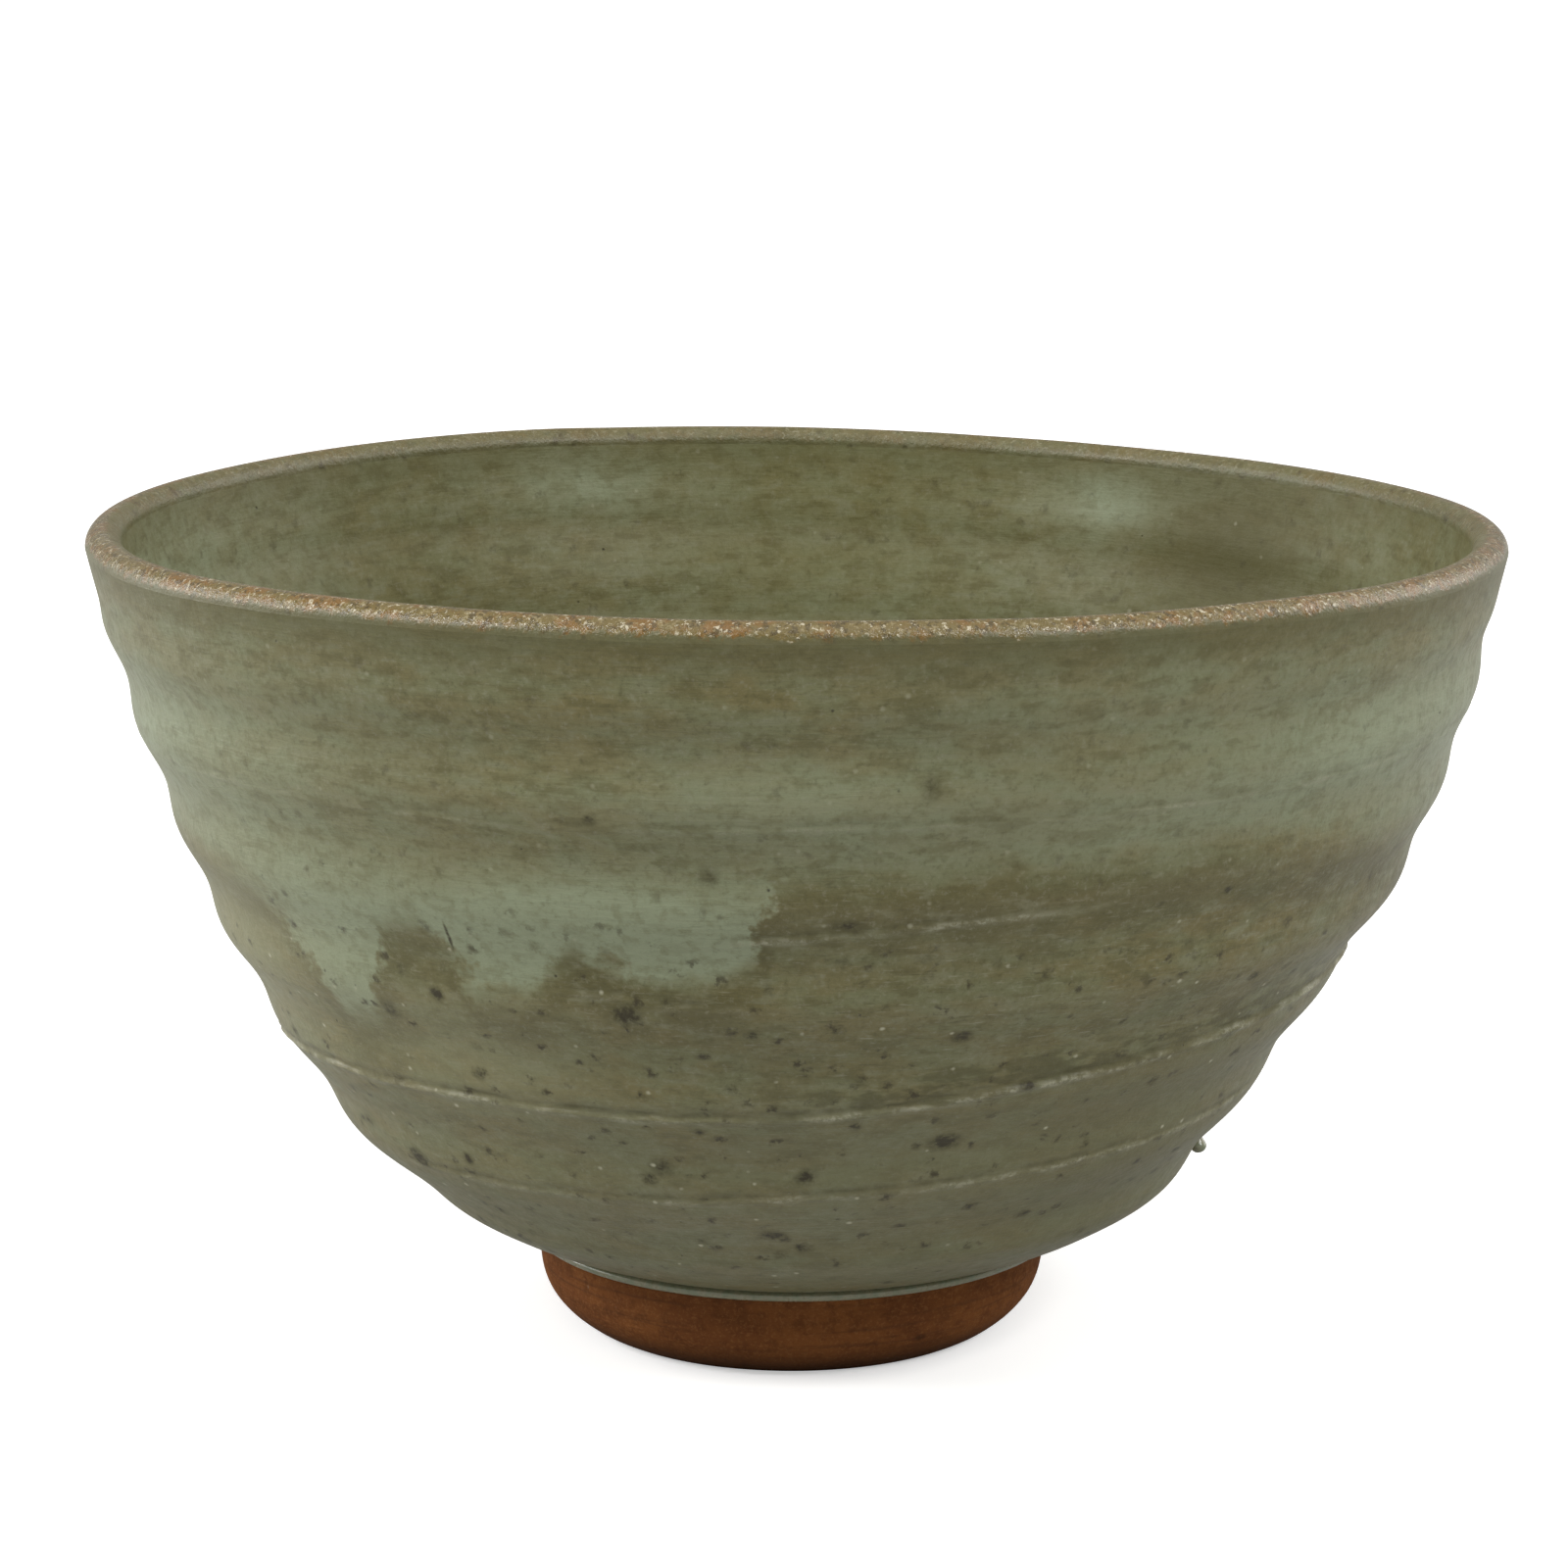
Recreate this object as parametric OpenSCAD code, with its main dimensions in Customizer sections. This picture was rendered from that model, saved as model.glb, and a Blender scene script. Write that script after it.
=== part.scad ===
// Matcha bowl: a wheel-thrown stoneware tea bowl in an ash glaze, standing on a turned foot.
// The axis of the bowl is Z and the foot stands on Z = 0. One outline, from the foot up the outside,
// over the lip and down the inside, is the surface of the glaze, and the clay lies one coat below it.

/* [Bowl] */
// Diameter over the widest part of the rim
rim_d = 123.6; // [117:0.2:134]
// Height from the table to the highest point of the lip
bowl_h = 73.2; // [68:0.2:80]
// Thickness of the wall at the lip, glaze included
lip_wall = 3; // [2.6:0.1:4.2]
// Thickness of the floor in the middle, glaze included
floor_wall = 6.2; // [5:0.1:7.2]

/* [Foot] */
// Height of the foot, from the table to where the bowl springs from it
foot_h = 8.8; // [8:0.1:9.2]
// Radius of the foot where it joins the bowl
foot_r = 22.6; // [21:0.1:23]
// Radius of the hollow trimmed inside the foot
recess_r = 15; // [12:0.1:15.4]
// Depth of that hollow
recess_depth = 6; // [4:0.1:7]
// Height of the small turned point left in the middle of the hollow
nub_h = 0.8; // [0:0.1:1.5]

/* [Glaze] */
// Thickness of the coat on the wall
coat = 0.5; // [0.3:0.05:0.7]
// Thickness of the coat on the lip, where it drew away
lip_coat = 0.3; // [0.2:0.05:0.4]
// Radius of the drop frozen on the lower wall
tear_r = 1.05; // [0.8:0.05:1.6]
// Height of the drop above the table
tear_z = 16.8; // [13.5:0.1:18.5]
// Direction of the drop round the axis
tear_angle = -10; // [-180:1:180]

/* [Throwing rings] */
// Height from one ring to the next
ring_pitch = 9.1; // [7:0.1:11]
// How far a ring stands out near the foot
ring_low = 0.42; // [0:0.02:0.6]
// How far a ring stands out near the lip
ring_high = 0.26; // [0:0.02:0.5]

/* [Hidden] */
$fn = 96;

// The outlines below are drawn for a bowl and foot of these sizes, and are stretched from them
drawn_d = 123.6;
drawn_h = 73.2;
drawn_foot_r = 22.6;
// Steps between two outline points, and degrees between two points round the lip
steps = 5;
lip_step = 15;
// Heights where the throwing rings fade in above the foot and out below the lip, and one ring's height
ring_start = 11;
ring_end = 68;
ring_fade = 4;
ring_crest = 33.2;
// Distance below the lip over which the coat grows to its full thickness
coat_run = 8;

lip_r = lip_wall / 2;
lip_z = bowl_h - lip_r;
rim_r = rim_d / 2;
floor_z = recess_depth + floor_wall;

// Where the bowl springs from the foot, [radius, height]
spring = [[foot_r + 0.8, foot_h + 0.1], [foot_r + 3.6, foot_h + 1.1]];
// Outside of the bowl above it, up to just below the lip
outside = [
    [29.3, 11.4], [32.7, 13.6], [35.9, 16.7], [39.5, 20.8], [43, 25.9], [46.3, 31.2], [49.9, 37.3],
    [53.1, 43.5], [55.4, 49.7], [57.6, 56], [59.3, 62.2], [60.7, 67.6]
];
// Inside of the bowl, from just below the lip down to the edge of the tea pool
inside = [
    [57.5, 67.6], [56, 62.2], [54.1, 56], [51.7, 49.7], [48.8, 43.5], [45.3, 37.3], [41.4, 31.6],
    [36.9, 26.3], [31.6, 21.5], [25.8, 17.6], [20.6, 15.2]
];
// The tea pool, [radius, height above the middle of the floor]
pool = [[17.6, 1.7], [13, 0.8], [7, 0.25], [2.5, 0.03]];
// The foot, [radius, share of the foot's height], from the bowl down to the inner edge it stands on
foot_side = [[22.35, 0.62], [21.75, 0.4], [20.6, 0.22], [19.1, 0.08], [17.9, 0]];
stand_in = 1.4;
foot_chamfer = 1.1;

// A smooth line through p at step t between points i and i + 1
function blend(a, b, c, d, t) =
    (2 * b + (c - a) * t + (2 * a - 5 * b + 4 * c - d) * t * t + (3 * b - a - 3 * c + d) * t * t * t) / 2;
function smooth(p) = [
    for (i = [0:len(p) - 2], k = [0:steps - 1])
        blend(p[max(i - 1, 0)], p[i], p[i + 1], p[min(i + 2, len(p) - 1)], k / steps),
    p[len(p) - 1]
];
function stretch(p) = [for (q = p) [q.x * rim_d / drawn_d, q.y * bowl_h / drawn_h]];
function part_of(p, first, last) = [for (i = [first:last]) p[i]];
function backwards(p) = [for (i = [len(p) - 1:-1:0]) p[i]];

// Throwing rings: how far the wall stands out at height z, which comes to nothing at the axis
function fade(z) = max(0, min(1, (z - ring_start) / ring_fade, (ring_end - z) / ring_fade));
function ring_size(z) = ring_low + (ring_high - ring_low) * z / bowl_h;
function ring(z) = fade(z) * ring_size(z) * cos(360 * (z - ring_crest) / ring_pitch);
function ringed(p, share) = [for (q = p) [q.x + share * ring(q.y) * min(1, q.x / 6), q.y]];

// Thickness of the coat at height z, and the outline moved from the glaze down to the clay
function coat_at(z) = lip_coat + (coat - lip_coat) * max(0, min(1, (lip_z - z) / coat_run));
function heading(p, i) = p[min(i + 1, len(p) - 1)] - p[max(i - 1, 0)];
function below(p) = [
    for (i = [0:len(p) - 1])
        let (h = heading(p, i))
        p[i] + coat_at(p[i].y) * [-h.y, h.x] / norm(h)
];

// The glaze surface, in three runs that share their end points
lip_turn = [for (a = [0:lip_step:180]) [rim_r - lip_r + lip_r * cos(a), lip_z + lip_r * sin(a)]];
up = ringed(smooth(concat(spring, stretch(outside), [lip_turn[0]])), 1);
pool_edge = [for (q = pool) [q.x * rim_d / drawn_d, floor_z + q.y]];
down_points = concat([lip_turn[len(lip_turn) - 1]], stretch(inside), pool_edge, [[0, floor_z]]);
down = ringed(smooth(down_points), 0.6);
glaze = concat(up, part_of(lip_turn, 1, len(lip_turn) - 1), part_of(down, 1, len(down) - 1));
first_lip = len(up) - 1;
last_lip = first_lip + len(lip_turn) - 1;
middle = len(glaze) - 1;

// The clay surface under it, closed on the axis
clay_line = below(glaze);
clay = concat(part_of(clay_line, 0, middle - 1), [[0, floor_z - coat]]);

module turned(outline) rotate_extrude() polygon(outline);

// A coat of glaze between two points of the outline
module coat_between(first, last) {
    turned(concat(part_of(glaze, first, last), backwards(part_of(clay, first, last))));
}

module clay_bowl() {
    nub = [for (a = [0:30:180]) [recess_r * 0.4 * a / 180, recess_depth - nub_h * (1 + cos(a)) / 2]];
    color([0.44, 0.29, 0.2])
    turned(concat(clay, nub, [[recess_r, recess_depth], [recess_r, foot_h], [foot_r, foot_h]]));
}

module foot_ring() {
    side = [for (q = foot_side) [q.x * foot_r / drawn_foot_r, q.y * foot_h]];
    color([0.36, 0.23, 0.15])
    turned(concat(
        [[recess_r, foot_h]],
        [[foot_r, foot_h]],
        smooth(side),
        [[recess_r + stand_in, 0], [recess_r, foot_chamfer]]
    ));
}

module outer_glaze() {
    color([0.47, 0.48, 0.38]) coat_between(0, first_lip);
}

module inner_glaze() {
    color([0.45, 0.45, 0.35]) coat_between(last_lip, middle);
}

module lip_glaze() {
    color([0.58, 0.48, 0.34]) coat_between(first_lip, last_lip);
}

module glaze_roll() {
    bead = [glaze[0], glaze[0] + [0.3, -0.3], glaze[0] + [0.1, -0.75], [foot_r + 0.35, foot_h - 0.85]];
    color([0.6, 0.56, 0.42])
    turned(concat([[foot_r, foot_h], clay[0]], smooth(bead), [[foot_r - 0.02, foot_h - 0.7]]));
}

module glaze_tear() {
    on_wall = [for (q = up) if (q.y > tear_z) q.x][0];
    color([0.5, 0.46, 0.33])
    difference() {
        rotate([0, 0, tear_angle]) translate([on_wall, 0, tear_z]) sphere(r = tear_r);
        turned(concat([[0, up[0].y]], part_of(up, 0, first_lip), [[0, lip_z]]));
    }
}

clay_bowl();
foot_ring();
outer_glaze();
inner_glaze();
lip_glaze();
glaze_roll();
glaze_tear();
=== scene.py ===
import math

import bmesh
import bpy
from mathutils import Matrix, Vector, noise


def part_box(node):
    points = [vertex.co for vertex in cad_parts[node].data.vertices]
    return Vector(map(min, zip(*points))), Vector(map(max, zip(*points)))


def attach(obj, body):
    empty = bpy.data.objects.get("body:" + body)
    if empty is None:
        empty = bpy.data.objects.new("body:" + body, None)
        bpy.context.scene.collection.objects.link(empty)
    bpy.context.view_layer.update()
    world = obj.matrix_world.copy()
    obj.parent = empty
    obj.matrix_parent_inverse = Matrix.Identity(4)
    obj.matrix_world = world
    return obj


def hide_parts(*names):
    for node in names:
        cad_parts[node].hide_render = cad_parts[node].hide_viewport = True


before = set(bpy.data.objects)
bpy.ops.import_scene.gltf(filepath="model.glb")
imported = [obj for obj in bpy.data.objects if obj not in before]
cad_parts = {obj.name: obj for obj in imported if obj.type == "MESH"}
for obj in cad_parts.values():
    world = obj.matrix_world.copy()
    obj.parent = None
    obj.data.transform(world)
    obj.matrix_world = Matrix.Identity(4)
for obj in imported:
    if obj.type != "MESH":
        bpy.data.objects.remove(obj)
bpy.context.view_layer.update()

bl_info = {
    "name": "Matcha bowl",
    "version": (1, 0, 0),
    "blender": (4, 5, 0),
    "location": "View3D > Sidebar > Matcha bowl",
    "description": "Turns a stoneware tea bowl on its packed frame and glazes it in grey-green ash glaze",
    "category": "Add Mesh",
}

MM = 0.001
FULL_TURN = 2 * math.pi
BODY = "root"

# Sizes taken from the frame, in millimetres
LIP_LOW, LIP_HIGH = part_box("lip_glaze")
FOOT_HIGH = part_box("foot_ring")[1]
RIM_RADIUS = LIP_HIGH.x / MM
BOWL_HEIGHT = LIP_HIGH.z / MM
LIP_RADIUS = (LIP_HIGH.z - LIP_LOW.z) / MM
FOOT_HEIGHT = FOOT_HIGH.z / MM
FOOT_RADIUS = FOOT_HIGH.x / MM
TEAR_LOW, TEAR_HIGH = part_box("glaze_tear")

# The radius and height that the outlines below are drawn for, in millimetres
DRAWN_RADIUS = 61.8
DRAWN_HEIGHT = 73.2

# Where the bowl springs from the foot, (radius, height)
SPRING = [(FOOT_RADIUS + 0.8, FOOT_HEIGHT + 0.1), (FOOT_RADIUS + 3.6, FOOT_HEIGHT + 1.1)]
# Outside of the bowl above it, up to just below the lip
OUTSIDE = [
    (29.3, 11.4), (32.7, 13.6), (35.9, 16.7), (39.5, 20.8), (43, 25.9), (46.3, 31.2), (49.9, 37.3),
    (53.1, 43.5), (55.4, 49.7), (57.6, 56), (59.25, 62.2), (60.6, 67.6),
]
# Inside of the bowl, from just below the lip down to the edge of the tea pool
INSIDE = [
    (57.5, 67.6), (56, 62.2), (54.1, 56), (51.7, 49.7), (48.8, 43.5), (45.3, 37.3), (41.4, 31.6),
    (36.9, 26.3), (31.6, 21.5), (25.8, 17.6), (20.6, 15.2),
]
# The tea pool, (radius, height above the middle of the floor), and the height of that middle
POOL = [(17.6, 1.7), (13, 0.8), (7, 0.25), (2.5, 0.03)]
FLOOR_HEIGHT = 12.2
# The hollow trimmed inside the foot, and the small turned point left in the middle of it
RECESS_RADIUS = 15
RECESS_DEPTH = 6
NUB_HEIGHT = 0.8
# The foot's side from the bowl down, and the rounded edge it stands on, (radius, height)
FOOT_SIDE = [
    (FOOT_RADIUS, FOOT_HEIGHT), (22.45, 5.6), (21.85, 3.55), (20.7, 1.95), (19.2, 0.72), (17.9, 0.03),
]
STAND_EDGE = [(17.9, 0.03), (17.1, 0.0), (16.3, 0.05), (15.5, 0.45), (RECESS_RADIUS, 1.2)]
# Thickness of the glaze on the wall and on the lip, and the distance over which it changes
COAT = 0.5
LIP_COAT = 0.3
COAT_RUN = 8
# How far the turned lip stays inside its widest circle, which leaves room for the hand's wander
LIP_SLACK = 0.25
# Points of a thrown mesh closer than this are one, and edges that bend by more radians stay sharp
MERGE_WITHIN = 0.000002
SHARP_FROM = 0.9
# The drop's radius, how lumpy it is, how far its tail is drawn up, and how far it stands off the wall
DROP_RADIUS = 0.75
DROP_LUMPS = 0.09
DROP_TAIL = 0.35
DROP_OFF = 0.25


# --------------------------------------------------------------------------- sizes and colours

def size(name, default, description):
    return bpy.props.FloatProperty(name=name, description=description, default=default)


def paint(name, default, description):
    return bpy.props.FloatVectorProperty(name=name, description=description, default=default,
                                         subtype="COLOR")


class BowlSizes(bpy.types.PropertyGroup):
    """How the bowl was thrown, in millimetres and degrees."""

    ring_pitch: size("Ring pitch", 9.1, "Rise of the throwing spiral in one turn")
    ring_crest: size("Ring crest", 33.2, "Height of one crest of the spiral on the right")
    ring_low: size("Ring depth low", 0.42, "How far a crest stands out near the foot")
    ring_high: size("Ring depth high", 0.26, "How far a crest stands out near the lip")
    lean: size("Lean", 1.0, "How much of its wander the wall shows")
    rim: size("Rim", 1.0, "How much of its rise and fall the rim shows")
    hand: size("Hand", 0.16, "Size of the soft dents left by the thrower's hand")


class BowlColours(bpy.types.PropertyGroup):
    """The colours of the glaze, the clay and what shows through."""

    milky: paint("Milky glaze", (0.200, 0.226, 0.140), "Where the glaze is thick")
    olive: paint("Olive glaze", (0.132, 0.132, 0.060), "Where the glaze is thin")
    rust: paint("Rusty glaze", (0.133, 0.110, 0.039), "Thin glaze with iron coming through")
    shade: paint("Dark olive", (0.072, 0.064, 0.020), "Bands where iron bleeds up into thin glaze")
    lip: paint("Lip", (0.168, 0.090, 0.023), "The rim, where the clay shows through")
    iron: paint("Iron", (0.030, 0.023, 0.007), "Specks of iron")
    grain: paint("Feldspar", (0.360, 0.350, 0.250), "Pale grains in the clay")
    clay: paint("Bare clay", (0.130, 0.047, 0.016), "The foot")
    # Darker clay in the turning streaks, and painted shade towards the edge the foot stands on
    dark_clay_and_shade: paint("Darkened clay", (0.045, 0.022, 0.012), "The lower edge of the foot")
    floor: paint("Floor", (0.86, 0.86, 0.85), "The studio floor")


# --------------------------------------------------------------------------- node trees

class Net:
    """Puts nodes into a tree, and sets or links their inputs in the order they show."""

    def __init__(self, tree):
        self.tree = tree

    def feed(self, sockets, values):
        for socket, value in zip(sockets, values):
            if isinstance(value, bpy.types.NodeSocket):
                self.tree.links.new(value, socket)
            elif value is not None:
                socket.default_value = value

    def put(self, kind, *values, pick=0, **settings):
        """Adds a node and returns one of its outputs, or the node itself where pick is None."""
        node = self.tree.nodes.new(kind)
        for key, value in settings.items():
            setattr(node, key, value)
        self.feed([s for s in node.inputs if s.enabled], values)
        if pick is None:
            return node
        return [s for s in node.outputs if s.enabled][pick]

    def math(self, operation, *values):
        return self.put("ShaderNodeMath", *values, operation=operation)

    def add(self, *values):
        total = values[0]
        for value in values[1:]:
            total = self.math("ADD", total, value)
        return total

    def mul(self, *values):
        total = values[0]
        for value in values[1:]:
            total = self.math("MULTIPLY", total, value)
        return total

    def sub(self, a, b):
        return self.math("SUBTRACT", a, b)

    def vector(self, operation, *values):
        return self.put("ShaderNodeVectorMath", *values, operation=operation)

    def split(self, vector):
        return self.put("ShaderNodeSeparateXYZ", vector, pick=None).outputs

    def join(self, x, y, z):
        return self.put("ShaderNodeCombineXYZ", x, y, z)

    def step(self, value, low, high, out_low=0.0, out_high=1.0):
        """A smooth step from out_low to out_high as value goes from low to high."""
        return self.put("ShaderNodeMapRange", value, low, high, out_low, out_high,
                        interpolation_type="SMOOTHSTEP")

    def bell(self, offset, width):
        """1 where offset is 0, falling to nothing a little past width."""
        ratio = self.math("DIVIDE", offset, width)
        return self.math("EXPONENT", self.mul(ratio, ratio, -1.0))

    def noise(self, vector, scale, detail=2.0, roughness=0.5, pick=0):
        return self.put("ShaderNodeTexNoise", vector, scale, detail, roughness, pick=pick)

    def swing(self, noise, size):
        """A noise made to swing about nothing, by half of size each way at most."""
        return self.mul(self.sub(noise, 0.5), size)

    def mix(self, share, a, b):
        return self.put("ShaderNodeMix", share, a, b, data_type="RGBA")

    def curve(self, value, points):
        """A smooth line through points given as (0 to 1, 0 to 1)."""
        node = self.put("ShaderNodeFloatCurve", 1.0, value, pick=None)
        line = node.mapping.curves[0]
        line.points[0].location = points[0]
        line.points[1].location = points[-1]
        for x, y in points[1:-1]:
            line.points.new(x, y)
        node.mapping.update()
        return node.outputs[0]


# Kinds of socket
FLOAT, VECTOR, SHAPE = "NodeSocketFloat", "NodeSocketVector", "NodeSocketGeometry"


def new_group(name, kind, inputs, outputs):
    """A node group with its sockets; inputs and outputs are (name, socket type, default)."""
    tree = bpy.data.node_groups.new(name, kind)
    for label, socket, default in inputs:
        made = tree.interface.new_socket(label, in_out="INPUT", socket_type=socket)
        if default is not None:
            made.default_value = default
    for label, socket in outputs:
        tree.interface.new_socket(label, in_out="OUTPUT", socket_type=socket)
    given = tree.nodes.new("NodeGroupInput").outputs
    result = tree.nodes.new("NodeGroupOutput").inputs
    return tree, Net(tree), given, result


# --------------------------------------------------------------------------- the outline

def smooth(points, steps):
    """A smooth line through the points, with that many steps between two of them."""
    line = []
    for i in range(len(points) - 1):
        a, b = points[max(i - 1, 0)], points[i]
        c, d = points[i + 1], points[min(i + 2, len(points) - 1)]
        for k in range(steps):
            t = k / steps
            line.append(tuple(
                (2 * q + (r - p) * t + (2 * p - 5 * q + 4 * r - s) * t * t
                 + (3 * q - p - 3 * r + s) * t ** 3) / 2
                for p, q, r, s in zip(a, b, c, d)))
    return line + [points[-1]]


def spaced(line, gap):
    """The line with its points about gap apart, ends kept; gap is a length, or gives one for a height."""
    lengths = [0]
    for a, b in zip(line, line[1:]):
        here = gap((a[1] + b[1]) / 2) if callable(gap) else gap
        lengths.append(lengths[-1] + math.dist(a, b) / here)
    count = max(1, round(lengths[-1]))
    out, k = [line[0]], 0
    for n in range(1, count):
        want = lengths[-1] * n / count
        while lengths[k + 1] < want:
            k += 1
        t = (want - lengths[k]) / (lengths[k + 1] - lengths[k])
        out.append(tuple(p + (q - p) * t for p, q in zip(line[k], line[k + 1])))
    return out + [line[-1]]


def stretched(points):
    return [(r * RIM_RADIUS / DRAWN_RADIUS, z * BOWL_HEIGHT / DRAWN_HEIGHT) for r, z in points]


def under(line):
    """The clay's surface, one coat below the glaze's."""
    clay = []
    for i, (r, z) in enumerate(line):
        ahead, behind = line[min(i + 1, len(line) - 1)], line[max(i - 1, 0)]
        dr, dz = ahead[0] - behind[0], ahead[1] - behind[1]
        share = max(0, min(1, (BOWL_HEIGHT - LIP_RADIUS - z) / COAT_RUN))
        depth = (LIP_COAT + (COAT - LIP_COAT) * share) / math.hypot(dr, dz)
        clay.append((max(0, r - dz * depth), z + dr * depth))
    return clay


def lip_turn():
    """The rounded lip, from outside to inside."""
    centre, base = RIM_RADIUS - LIP_SLACK - LIP_RADIUS, BOWL_HEIGHT - LIP_RADIUS
    turns = [math.radians(a) for a in range(0, 181, 10)]
    return [(centre + LIP_RADIUS * math.cos(a), base + LIP_RADIUS * math.sin(a)) for a in turns]


LIP = lip_turn()
UP = smooth(SPRING + stretched(OUTSIDE) + [LIP[0]], 12)
POOL_LINE = [(r, FLOOR_HEIGHT + z) for r, z in POOL] + [(0, FLOOR_HEIGHT)]
DOWN = smooth([LIP[-1]] + stretched(INSIDE) + POOL_LINE, 12)


def wall_gap(height):
    """Closer together where the deepest scored line runs."""
    return 0.19 if 26 < height < 39 else 0.31


def coat_outline(line, fine, coarse):
    """A closed outline: the glaze's surface one way and the clay's surface back."""
    face = spaced(line, fine)
    back = under(spaced(line, coarse))
    return face + back[::-1] + face[:1]


# --------------------------------------------------------------------------- the throwing rule

# Lines scored by a fingernail or a grain of sand as the bowl turned. Each has its path as (degrees from
# the front, height), how far it stands out, how deep the cut above it is, its width and where it shows.
SCORES = [
    {"path": [(-150, 26), (-63, 29.1), (-35, 29.9), (-15, 29.9), (0, 30.3), (23, 32.2), (47, 33.9),
              (100, 36.6), (150, 37.8)],
     "crest": 0.20, "cut": 0.17, "width": 0.34, "shows": (-125, 112)},
    {"path": [(-150, 54.6), (-50, 56.1), (-20, 56), (0, 56.5), (30, 57.1), (60, 58), (150, 60)],
     "crest": 0.05, "cut": 0.04, "width": 0.22, "shows": (-95, 88)},
    {"path": [(-150, 44), (-20, 45.6), (-1, 47), (9, 47.9), (18, 48.6), (40, 50), (150, 53)],
     "crest": 0.09, "cut": 0.06, "width": 0.28, "shows": (-6, 24)},
    {"path": [(-150, 38), (-30, 41.6), (-15, 41.3), (-10, 40.8), (20, 42.5), (150, 45)],
     "crest": 0.08, "cut": 0.06, "width": 0.26, "shows": (-19, -4)},
    {"path": [(-150, 18.5), (-31, 21.1), (-10, 21.6), (0, 22.2), (14, 22.7), (29, 23.4), (150, 27)],
     "crest": 0.09, "cut": 0.09, "width": 0.28, "shows": (-52, 70)},
]
SCORE_TOP = 80
# How far the wall wanders to the right of the axis at each height
LEAN = [
    (0, -0.4), (6, -0.4), (11, 0.2), (20, -0.7), (30, -0.6), (36, -0.3), (47, 0.4), (57, 0.4), (68, 0.1),
    (80, 0.2),
]
# How far the rim drops below the highest point of the lip, by degrees from the front
RIM = [
    (-180, 1.05), (-163, 0.75), (-147, 0.5), (-115, 0.7), (-72, 0.75), (-44, 0.3), (-18, 0), (0, 0),
    (20, 0.3), (34, 0.45), (58, 1.05), (92, 1.4), (138, 1.8), (155, 1.65), (168, 1.35), (180, 1.05),
]


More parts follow.
